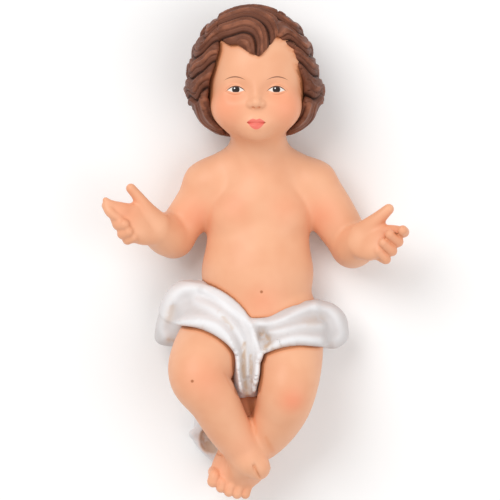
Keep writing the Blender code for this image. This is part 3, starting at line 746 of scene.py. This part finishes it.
class Track:
    """A curve seen from above, with a half width, through stations (x, y, half width)."""

    def __init__(self, stations):
        curve = Limb([(x, y, 0, half_width) for x, y, half_width in stations], steps=5).curve
        self.middle = curve[:, :2]
        self.half_width = curve[:, 3]

    def share(self, points):
        """How far off the curve places are, as a share of its half width, and that half width."""
        flat = points[:, :2]
        share = np.full(len(flat), FAR_AWAY)
        half_width = np.ones(len(flat))
        for i, (start, end) in enumerate(zip(self.middle[:-1], self.middle[1:])):
            span = end - start
            run = np.clip((flat - start) @ span / (span @ span), 0, 1)
            width = mixed(self.half_width[i], self.half_width[i + 1], run)
            away = np.linalg.norm(flat - start - run[:, None] * span, axis=1) / width
            half_width = np.where(away < share, width, half_width)
            share = np.minimum(share, away)
        return share, half_width

    def inside(self, points):
        share, half_width = self.share(points)
        return (1 - share) * half_width


BANDS = [
    Track([(-16.5, -10.2, 4.6), (-11.0, -11.2, 4.5), (-6.0, -14.2, 3.9), (-2.7, -19.0, 2.8),
           (-2.2, -24.0, 2.4), (-2.3, -27.4, 1.9)]),
    Track([(-1.4, -17.4, 3.9), (3.0, -16.4, 3.4), (8.0, -14.9, 4.1), (14.0, -14.6, 4.8)]),
    Track([(-1.4, -17.4, 2.4), (-0.8, -20.6, 1.7), (-0.9, -22.4, 1.1)]),
]
FOLDS = [
    (1.0, Track([(-11.5, -7.6, 0.9), (-8.4, -9.2, 0.9), (-5.2, -11.6, 0.9), (-2.4, -14.0, 0.8),
                 (-0.8, -17.0, 0.8), (-0.5, -21.0, 0.7), (-0.7, -27.8, 0.7)])),
    (0.8, Track([(-12.6, -9.8, 1.1), (-9.4, -11.4, 1.0), (-5.9, -13.8, 0.9), (-3.4, -17.2, 0.7),
                 (-2.5, -21.0, 0.5), (-2.3, -25.0, 0.4)])),
    (1.2, Track([(-16.0, -14.6, 1.0), (-12.6, -13.7, 1.0), (-9.0, -14.4, 1.0), (-6.3, -16.8, 0.8),
                 (-4.8, -20.2, 0.7), (-4.3, -24.0, 0.7), (-4.1, -28.0, 0.7)])),
    (1.0, Track([(-1.0, -14.4, 0.8), (1.6, -14.5, 0.8), (5.0, -13.4, 0.8), (8.0, -12.0, 0.9),
                 (11.4, -10.8, 0.9)])),
    (0.8, Track([(2.2, -16.3, 0.6), (5.0, -15.7, 0.8), (9.0, -14.9, 1.0), (12.6, -14.9, 1.1)])),
    (1.1, Track([(0.2, -21.0, 0.8), (2.2, -19.4, 0.8), (5.0, -18.0, 0.9), (8.5, -17.4, 0.9),
                 (12.2, -17.8, 1.0)])),
    (0.7, Track([(-11.8, -7.6, 1.2), (-14.3, -7.2, 1.2), (-16.8, -8.2, 1.1), (-18.0, -10.2, 1.1),
                 (-19.1, -13.0, 1.1), (-19.9, -15.6, 1.1), (-19.2, -17.3, 1.1)])),
    (0.7, Track([(12.0, -11.5, 1.1), (14.0, -11.6, 1.1), (15.4, -12.8, 1.1), (16.4, -14.8, 1.1),
                 (16.8, -17.0, 1.1), (15.6, -18.4, 1.1)])),
    (-1.0, Track([(0.8, -17.0, 0.9), (1.9, -18.0, 0.6)])),
    (-0.5, Track([(-17.6, -11.2, 1.0), (-17.0, -13.1, 0.9)])),
]
# Beige painted shade in streaks along the fold valleys.
CLOTH_SHADE_STREAKS = [
    (1.0, Track([(0.7, -16.8, 0.9), (1.9, -18.0, 0.8), (1.1, -19.6, 0.5)])),
    (0.5, Track([(-8.0, -12.2, 0.4), (-5.6, -15.4, 0.5)])),
    (1.0, Track([(-3.0, -18.4, 0.4), (-3.2, -22.0, 0.6), (-3.0, -25.4, 0.5), (-2.4, -28.9, 0.6)])),
    (0.8, Track([(-1.7, -21.0, 0.3), (-1.6, -26.2, 0.4)])),
    (0.45, Track([(-17.6, -10.6, 0.8), (-18.4, -13.6, 0.9)])),
    (0.3, Track([(9.6, -14.4, 0.9), (12.6, -13.6, 1.0)])),
    (0.7, Track([(-18.4, -18.0, 0.5), (-16.6, -18.4, 0.5)])),
]
LAPS = [
    Limb([(-11.8, -8.2, 10.0, 2.2), (-14.9, -8.4, 9.2, 2.5), (-17.0, -10.9, 8.6, 2.7),
          (-18.9, -15.0, 7.6, 2.1), (-19.6, -17.2, 6.8, 1.8)], 1.4),
    Limb([(-10.5, -12.4, 13.2, 2.2), (-14.2, -13.6, 9.8, 3.6), (-16.8, -16.0, 8.0, 2.9),
          (-17.6, -17.4, 7.2, 1.9)], 1.4),
    Limb([(9.5, -12.4, 12.0, 2.4), (12.8, -12.9, 9.4, 2.9), (15.0, -14.2, 8.4, 2.9),
          (15.9, -16.6, 7.4, 2.5)], 1.4),
    Limb([(9.0, -16.4, 13.0, 2.4), (12.6, -16.6, 9.6, 2.9), (14.6, -17.2, 8.0, 2.5)], 1.4),
    Limb([(-4.6, -16.4, 16.0, 2.4), (-4.0, -21.0, 16.7, 1.9), (-3.7, -25.0, 16.6, 1.5),
          (-3.5, -28.4, 15.6, 1.3)], 0.4),
    Limb([(-2.4, -16.0, 16.0, 2.3), (-1.3, -21.0, 16.7, 1.9), (-0.9, -25.0, 16.6, 1.4),
          (-1.2, -28.2, 15.6, 1.25)], 0.4),
]
BUNCH = [
    Limb([(-5.0, -18.0, 4.0, 5.2), (-7.0, -27.0, 4.6, 5.0), (-9.6, -36.0, 4.2, 3.8)], 2.0),
    Limb([(5.0, -18.0, 4.0, 5.2), (4.0, -27.0, 5.0, 5.2), (-1.0, -36.0, 4.4, 4.0)], 2.0),
    Ball((-1.0, -25.0, 5.0), (6.0, 9.0, 6.0), 2.0),
    Ball((-8.2, -38.2, 3.6), (3.2, 4.2, 3.6), 1.5),
    Limb([(-10.0, -34.2, 6.8, 1.0), (-13.4, -37.2, 6.0, 0.8)], 0.6),
    Limb([(-13.4, -37.2, 6.0, 0.8), (-11.6, -39.8, 5.2, 0.9), (-8.8, -42.4, 4.2, 1.0)], 0.6),
]
# The bands say where the cloth lies above the height SIDE, and below it the cloth closes round the
# seat. Its hidden part runs from HEM to WAIST, and the bunch turns white from BUNCH_START down.
WAIST = -5.0
HEM = -26.0
SEAT = (-23.0, -9.6)
SIDE = 8.0
CLOTH_EDGE_SLOPE = 0.9
BUNCH_START = (30, 33)
BUNCH_HOLLOW = Ball((-9.8, -38.6, 7.6), (2.4, 3.2, 3.4), 0.3)
BUNCH_FOLD = Limb([(-13.0, -37.0, 5.9, 0.4), (-10.9, -37.6, 4.9, 0.4), (-8.5, -39.2, 4.6, 0.3)], 0.3)


def fold_relief(points):
    relief = np.zeros(len(points))
    for height, track in FOLDS:
        share, _ = track.share(points)
        relief += FOLD * height * np.exp(-share * share)
    relief += STEP * smooth_step(BANDS[0].inside(points), -0.1, 0.3)
    return relief * smooth_step(points[:, 2], SIDE - 1, SIDE + 1)


def cloth_distance(points):
    skin_below = joined(TRUNK + LEGS, points)
    x, y, z = points.T
    relief = fold_relief(points)
    inside = np.max([band.inside(points) for band in BANDS], axis=0)
    round_seat = np.minimum.reduce([y - SEAT[0], SEAT[1] - y, SIDE + 1 - z])
    inside = np.maximum(np.minimum(inside, z - SIDE), round_seat)
    laid = smooth_max(skin_below - CLOTH - relief, -CLOTH_EDGE_SLOPE * inside, EDGE_ROUNDING)
    hidden = np.maximum(skin_below + HIDDEN, np.maximum(y - WAIST, HEM - y))
    cloth = smooth_min(laid, joined(LAPS, points) - relief, 0.8)
    bunch = smooth_max(joined(BUNCH, points), -BUNCH_HOLLOW.distance(points), BUNCH_HOLLOW.blend)
    bunch = smooth_min(bunch, BUNCH_FOLD.distance(points), BUNCH_FOLD.blend)
    cloth = np.minimum(smooth_min(cloth, bunch, 0.8), hidden)
    return smooth_max(cloth, -z, FLOOR_ROUNDING)


HIPS = [form for form in TRUNK if isinstance(form, Ball) and form.centre[1] < -10]
cloth_mesh = rough_cast(HIPS + LAPS + BUNCH, 2 * CLOTH_GRAIN)
settle(cloth_mesh, cloth_distance, 5)
cloth_mesh = remeshed(cloth_mesh, CLOTH_GRAIN)
for _ in range(3):
    relax(cloth_mesh, 2)
    settle(cloth_mesh, cloth_distance, 2, 0.8)
relax(cloth_mesh, 1)

CLOTH_WHITE = (0.80, 0.79, 0.80, 1)
CLOTH_PEARL_SHADE = (0.65, 0.615, 0.61, 1)
BEIGE_WASH_AND_SHADE = (0.60, 0.44, 0.32, 1)
BROWN_WASH_AND_SHADE = (0.30, 0.15, 0.08, 1)
cloth_paint = Paint("white cloth paint", roughness=0.52, specular=0.3)
hollow = cloth_paint.carved("hollow")
# Lighter on the raised folds as painted highlight and pearl grey as painted shade where the cloth lies
# low, clouded a little at random; the bunch is white all over.
rise = cloth_paint.carved("fold") + 0.5 * cloth_paint.mottle(0.007) - 0.25
color = cloth_paint.mix(CLOTH_PEARL_SHADE, CLOTH_WHITE, rise.rising(0.1, 1.2))
# Painted shade in streaks along the folds and in the hollow under the shins.
painted_shade = cloth_paint.carved("painted_shade") * cloth_paint.mottle(0.003).rising(0.3, 0.55)
color = cloth_paint.mix(color, BEIGE_WASH_AND_SHADE, painted_shade)
# The beige and brown wash and painted shade in the creases, brown at their bottoms.
color = cloth_paint.mix(color, BEIGE_WASH_AND_SHADE, 0.8 * hollow.rising(0.35, 0.8))
color = cloth_paint.mix(color, BROWN_WASH_AND_SHADE, hollow.rising(0.8, 1.0))
cloth_paint.feed("Base Color", color)


def hollowness(distance, mesh, reach):
    """1 at the bottom of a crease narrower than reach, 0 in the open."""
    return 1 - np.clip(distance(places_of(mesh) + reach * normals_of(mesh)) / reach, 0, 1)


def shade_streaks(points, tracks):
    """Painted shade left in streaks, on the sides that are seen from above."""
    painted_shade = np.zeros(len(points))
    for strength, track in tracks:
        share, _ = track.share(points)
        painted_shade = np.maximum(painted_shade, strength * np.exp(-share * share) * (points[:, 2] > SIDE - 2))
    return painted_shade


def cloth_painted_shade(points):
    """The painted shade on the cloth: streaks along the folds, and the hollow under the shins."""
    painted_shade = shade_streaks(points, CLOTH_SHADE_STREAKS)
    shade_under_shins = 0.9 * smooth_step(-BUNCH_HOLLOW.distance(points), -0.5, 0.1)
    beside_fold = smooth_step(BUNCH_FOLD.distance(points), 0.0, 0.5)
    return np.maximum(painted_shade, shade_under_shins * (0.5 + 0.5 * beside_fold))


places = places_of(cloth_mesh)
# The wash and painted shade in the creases, painted shade in streaks and under the shins, and the fold
# heights that make the raised folds lighter as painted highlight.
creases = hollowness(cloth_distance, cloth_mesh, CLOTH_CREASE)
write(cloth_mesh, "hollow", averaged(cloth_mesh, creases[:, None], 3)[:, 0])
write(cloth_mesh, "painted_shade", cloth_painted_shade(places))
bunched = smooth_step(-places[:, 1], *BUNCH_START)
write(cloth_mesh, "fold", fold_relief(places) / FOLD + 0.7 * bunched)
cloth_mesh.shade_smooth()
keep(cloth_mesh, "loincloth", cloth_paint)


# The wash, the painted shade and the blush on the flesh. A thin brown wash is wiped over the painted
# casting and stays in the creases, deepened there into painted shade, with painted shade in streaks
# where the limbs meet; a sponge leaves the blush on the cheeks, the knees and other full places,
# and the same orange is painted shade under the arms.

BLUSH_AND_SHADE_SPOTS = [
    (*at_head(-5.4, -6.6, 8.6), 3.3, 0.75),
    (*at_head(5.4, -6.6, 8.6), 3.3, 0.75),
    (-11.4, -25.6, 24.5, 4.2, 0.30),
    (6.5, -29.8, 23.0, 2.3, 0.85),
    (0.8, -10.2, 17.0, 3.6, 0.30),
    (-4.9, 8.8, 14.0, 3.0, 0.22),
    (4.9, 8.8, 14.0, 3.0, 0.22),
    # These two spots are painted shade under the arms, where they meet the trunk.
    (-12.8, 7.5, 11.0, 3.6, 0.40),
    (12.8, 7.5, 11.0, 3.6, 0.40),
    (-27.5, 8.5, 19.0, 4.0, 0.25),
    (27.0, 3.0, 18.0, 4.0, 0.25),
    (-7.5, -46.5, 9.0, 4.0, 0.35),
    (-4.0, -39.0, 17.5, 3.4, 0.25),
]
SKIN_CREASE = 0.8
# The hair can shade the skin above COLLAR, and the cloth can below BELLY.
BELLY = -1.0
# Painted shade in streaks: between the thighs, in a fold of the thigh, by the heel, where the right
# ankle crosses the left leg and on the foot beside the bunched cloth.
SKIN_SHADE_STREAKS = [
    (1.0, Track([(-1.8, -29.6, 2.2), (-1.5, -31.4, 1.6), (-1.3, -33.4, 0.7)])),
    (0.8, Track([(-1.3, -33.4, 0.7), (-0.6, -37.0, 0.5)])),
    (0.60, Track([(-7.2, -24.2, 0.25), (-6.2, -26.4, 0.3), (-5.0, -28.4, 0.3)])),
    (0.95, Track([(-0.9, -43.6, 0.15), (-0.4, -44.6, 0.3), (0.2, -45.8, 0.2)])),
    (0.60, Track([(1.4, -37.6, 0.6), (2.8, -40.4, 0.8)])),
    (0.95, Track([(-9.0, -41.0, 0.5), (-7.6, -41.6, 0.4)])),
]


def figure_distance(points):
    distance = skin_distance(points)
    for near, form in ((points[:, 1] > COLLAR, hair_distance), (points[:, 1] < BELLY, cloth_distance)):
        distance[near] = np.minimum(distance[near], form(points[near]))
    return distance


def blush_and_shade(points):
    total = np.zeros(len(points))
    for x, y, z, radius, strength in BLUSH_AND_SHADE_SPOTS:
        away = np.linalg.norm(points - (x, y, z), axis=1) / radius
        total += strength * np.exp(-away * away)
    return np.minimum(total, 1)


def cut(mesh, kept):
    """The faces of a mesh that are kept, with the smooth normals of the whole."""
    normals = normals_of(mesh)
    part = mesh.copy()
    some = bmesh.new()
    some.from_mesh(part)
    number = some.verts.layers.int.new("number")
    for vertex in some.verts:
        vertex[number] = vertex.index
    some.faces.ensure_lookup_table()
    bmesh.ops.delete(some, geom=[face for face in some.faces if not kept[face.index]], context="FACES")
    order = [vertex[number] for vertex in some.verts]
    some.verts.layers.int.remove(number)
    some.to_mesh(part)
    some.free()
    part.shade_smooth()
    part.normals_split_custom_set_from_vertices(normals[order])
    return part


# The wash and painted shade in the creases, with painted shade in streaks along the crevices.
creases = hollowness(figure_distance, skin, SKIN_CREASE)
write(skin, "hollow", np.maximum(creases, shade_streaks(places_of(skin), SKIN_SHADE_STREAKS)))
write(skin, "blush_and_shade", blush_and_shade(places_of(skin)))

centres = np.empty(3 * len(skin.polygons))
skin.polygons.foreach_get("center", centres)
centres = centres.reshape(-1, 3) / UNIT
NECK = TRUNK[3]
on_head = joined(HEAD, centres) < NECK.distance(centres, margin=FAR_AWAY)
keep(cut(skin, ~on_head), "flesh", flesh_paint)


# The head of the casting is painted as well: dark eyes with a white light in them, thin brown
# brows and lid lines, and coral lips.

IRIS = (0.020, 0.009, 0.006, 1)
EYE_WHITE = (0.80, 0.72, 0.66, 1)
LASH_BROWN = (0.085, 0.030, 0.018, 1)
BROW_BROWN = (0.20, 0.075, 0.04, 1)
CORAL = (0.80, 0.135, 0.115, 1)
GLINT_WHITE = (0.9, 0.9, 0.9, 1)
EYE_HALF_WIDTH = 1.75
UPPER_OPENING = 0.74
LOWER_OPENING = 0.44
IRIS_RADIUS = 0.82
GLINT_RADIUS = 0.17
LASH_HEIGHT = 0.80
BROW_HEIGHT = 2.7
BROW_HALF_WIDTH = 2.3
LIP_HALF_WIDTH = 2.05
LOWER_LIP_HALF_WIDTH = 1.75
LOWER_LIP_HEIGHT = 1.42

head_paint = Paint("peach face paint", FLESH_ROUGHNESS, FLESH_SPECULAR)
sockets = {"Vector": head_paint.place()}
x, y, z = (
    head_paint.node("ShaderNodeSeparateXYZ", {}, sockets, output=axis) / UNIT - float(middle)
    for axis, middle in enumerate(HEAD_CENTRE)
)
in_front = z.rising(4.0, 5.0)
side_x = abs(x)
eye_x = side_x - EYE_ACROSS
eye_y = y - EYE_LINE
share = eye_x / EYE_HALF_WIDTH
arch = 1 - share * share
upper_edge = UPPER_OPENING * arch
lower_edge = -LOWER_OPENING * arch
in_eye = (upper_edge - eye_y).rising(0.0, 0.08) * (eye_y - lower_edge).rising(0.0, 0.08) * in_front
iris_y = eye_y - 0.16
iris_away = (eye_x * eye_x + iris_y * iris_y) ** 0.5
in_iris = (IRIS_RADIUS - iris_away).rising(0.0, 0.1)
side_sign = x.math("SIGN", x, 0.0)
glint_x = eye_x * side_sign + 0.26
glint_y = eye_y - 0.40
glint = (GLINT_RADIUS - (glint_x * glint_x + glint_y * glint_y) ** 0.5).rising(0.0, 0.06)
lash_reach = 1 - (share * share) / 1.44
lash = (0.10 * lash_reach.rising(0.0, 0.6) + 0.03 - abs(eye_y - LASH_HEIGHT * arch)).rising(0.0, 0.06)
lash = lash * lash_reach.rising(0.0, 0.05) * in_front
brow_share = (side_x - EYE_ACROSS - 0.2) / BROW_HALF_WIDTH
brow_line = EYE_LINE + BROW_HEIGHT - 0.75 * brow_share * brow_share
brow = (0.13 * (1 - brow_share * brow_share) - abs(y - brow_line)).rising(-0.03, 0.05) * in_front
lip_y = y - MOUTH_LINE
upper_share = x / LIP_HALF_WIDTH
bow = 0.98 * (1 - upper_share * upper_share) - 0.30 * (1 - side_x.rising(0.0, 0.8))
lower_share = x / LOWER_LIP_HALF_WIDTH
lower_lip = LOWER_LIP_HEIGHT * (1 - lower_share * lower_share)
in_lips = (bow - lip_y).rising(0.0, 0.1) * (lip_y + lower_lip).rising(0.0, 0.1)
in_lips = in_lips * (LIP_HALF_WIDTH - side_x).rising(0.0, 0.1) * in_front
color = flesh_color(head_paint)
color = head_paint.mix(color, CORAL, 0.85 * in_lips)
color = head_paint.mix(color, BROW_BROWN, 0.9 * brow)
color = head_paint.mix(color, EYE_WHITE, in_eye)
color = head_paint.mix(color, IRIS, in_eye * in_iris)
color = head_paint.mix(color, GLINT_WHITE, in_eye * glint)
color = head_paint.mix(color, LASH_BROWN, lash)
head_paint.feed("Base Color", color)
head_paint.feed("Roughness", FLESH_ROUGHNESS + 0.2 * in_eye * in_iris - 0.1 * in_lips)
keep(cut(skin, on_head), "head", head_paint)


# The floor under the figure is a plain pale sheet, and the light is that of a soft studio.

FLOOR_SIZE = 6.0
FLOOR_WHITE = (0.94, 0.94, 0.94, 1)
SKY_WHITE = (1.0, 0.99, 0.98, 1)
SKY_STRENGTH = 0.60
floor_mesh = bpy.data.meshes.new("floor")
sheet = bmesh.new()
bmesh.ops.create_grid(sheet, x_segments=1, y_segments=1, size=FLOOR_SIZE / 2)
sheet.to_mesh(floor_mesh)
sheet.free()
floor = bpy.data.objects.new("floor", floor_mesh)
bpy.context.scene.collection.objects.link(floor)
floor_paint = Paint("pale floor", roughness=0.9, specular=0.5)
floor_paint.shader.inputs["Base Color"].default_value = FLOOR_WHITE
floor_mesh.materials.append(floor_paint.material)

world = bpy.data.worlds.new("studio")
world.use_nodes = True
sky = world.node_tree.nodes["Background"]
sky.inputs["Color"].default_value = SKY_WHITE
sky.inputs["Strength"].default_value = SKY_STRENGTH
bpy.context.scene.world = world


def soft_light(name, place, size, power):
    lamp = bpy.data.lights.new(name, "AREA")
    lamp.size = size
    lamp.energy = power
    light = bpy.data.objects.new(name, lamp)
    light.location = place
    light.rotation_euler = (-light.location).to_track_quat("-Z", "Y").to_euler()
    bpy.context.scene.collection.objects.link(light)


soft_light("key", (-0.45, 0.50, 0.95), 0.7, 6.6)
soft_light("fill", (0.60, -0.20, 0.90), 0.9, 3.4)


# The camera looks straight down on the figure through a long lens, as the photograph does.

VIEW_WIDTH = 0.1633
VIEW_CENTRE = (-0.00294, 0.00065)
CAMERA_HEIGHT = 2.5
FIGURE_MIDDLE = 0.015
SENSOR = 0.036
lens = bpy.data.cameras.new("camera")
lens.sensor_width = 1000 * SENSOR
lens.lens = 1000 * SENSOR * CAMERA_HEIGHT / VIEW_WIDTH
camera = bpy.data.objects.new("camera", lens)
camera.location = (*VIEW_CENTRE, CAMERA_HEIGHT + FIGURE_MIDDLE)
bpy.context.scene.collection.objects.link(camera)
bpy.context.scene.camera = camera
bpy.context.scene.view_settings.view_transform = "Standard"
